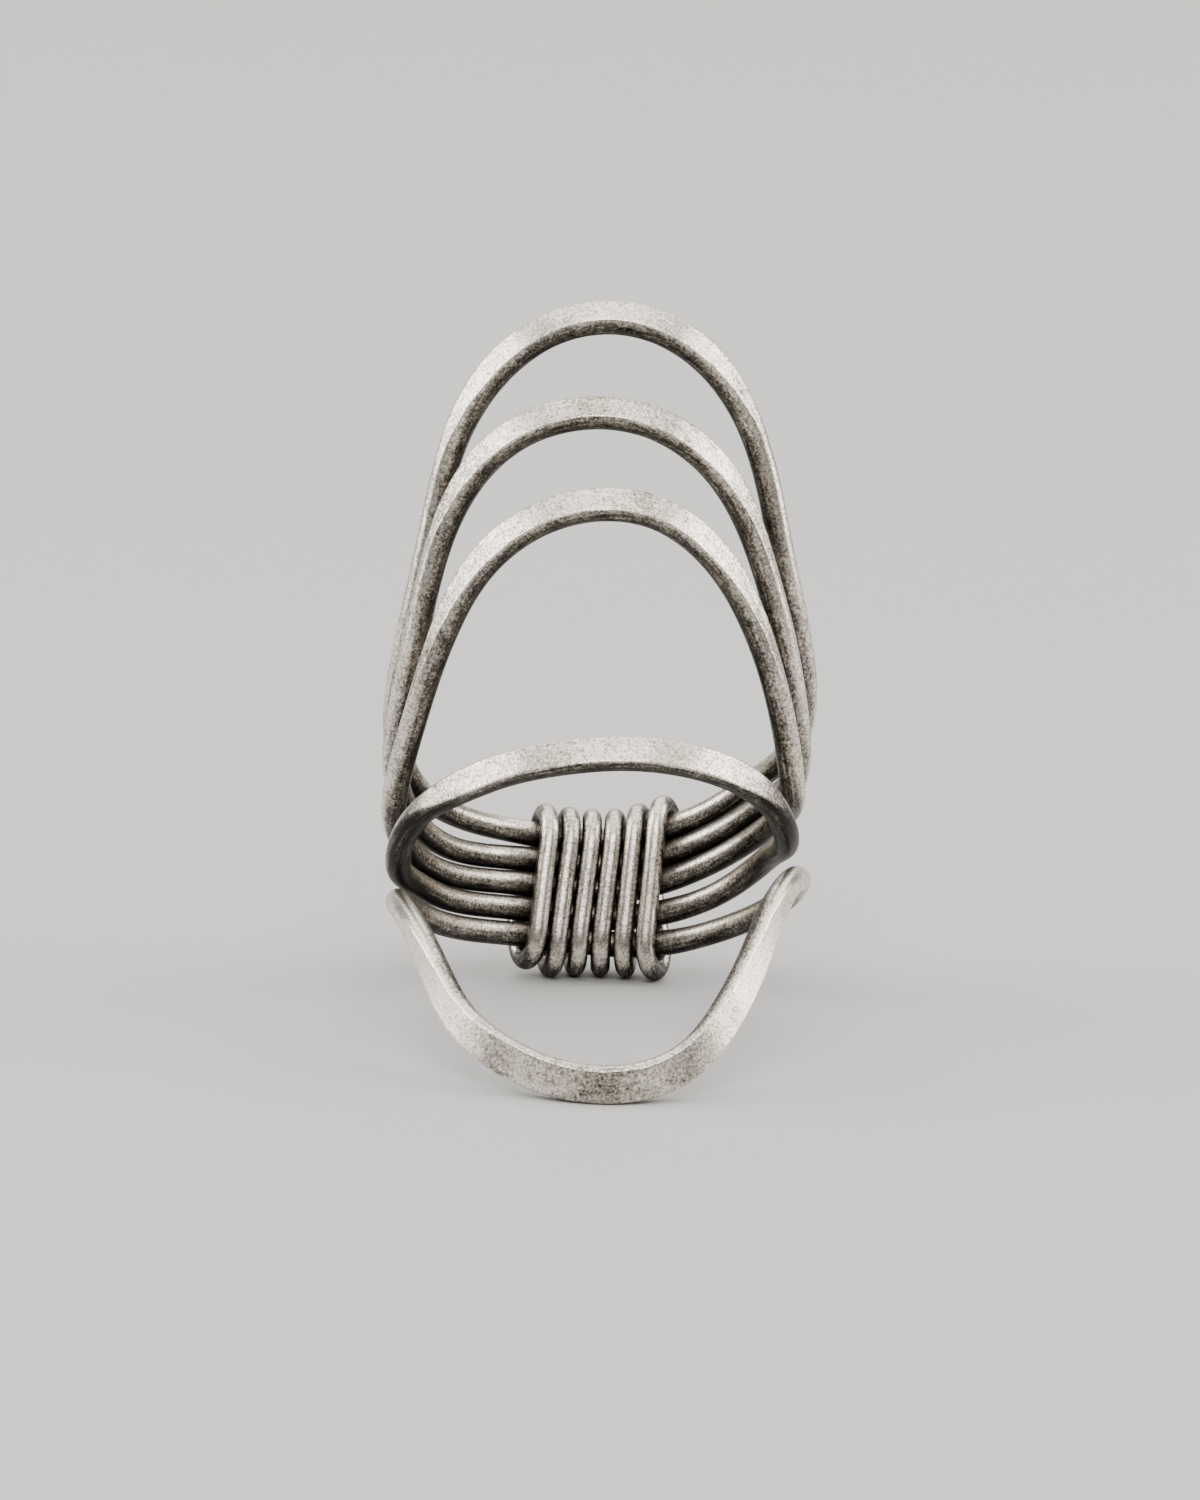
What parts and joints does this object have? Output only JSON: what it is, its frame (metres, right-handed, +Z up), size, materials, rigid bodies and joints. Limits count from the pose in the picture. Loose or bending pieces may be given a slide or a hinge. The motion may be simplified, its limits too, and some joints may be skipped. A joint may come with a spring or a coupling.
{
  "type": "wire wrapped ring",
  "caption": "Full-finger ring of oxidised wire loops that lie side by side behind, bound by a coil of thinner wire, and fan out in front as hammered arches.",
  "frame": {"origin": "on the surface that the ring stands on, under the middle of its box", "axes": "+Z up, -Y towards the front where the arches fan out, +X to the right seen from the front"},
  "size_m": [0.0214, 0.026, 0.035],
  "materials": {
    "oxidised_silver": "satin silver, oxidised in the recesses",
    "binding_silver": "satin silver, oxidised between the turns"
  },
  "bodies": {
    "root": {"tall_arch": "oxidised_silver", "middle_arch": "oxidised_silver", "short_arch": "oxidised_silver", "cross_arch": "oxidised_silver", "drop_arch": "oxidised_silver", "binding_coil": "binding_silver"}
  },
  "joints": []
}
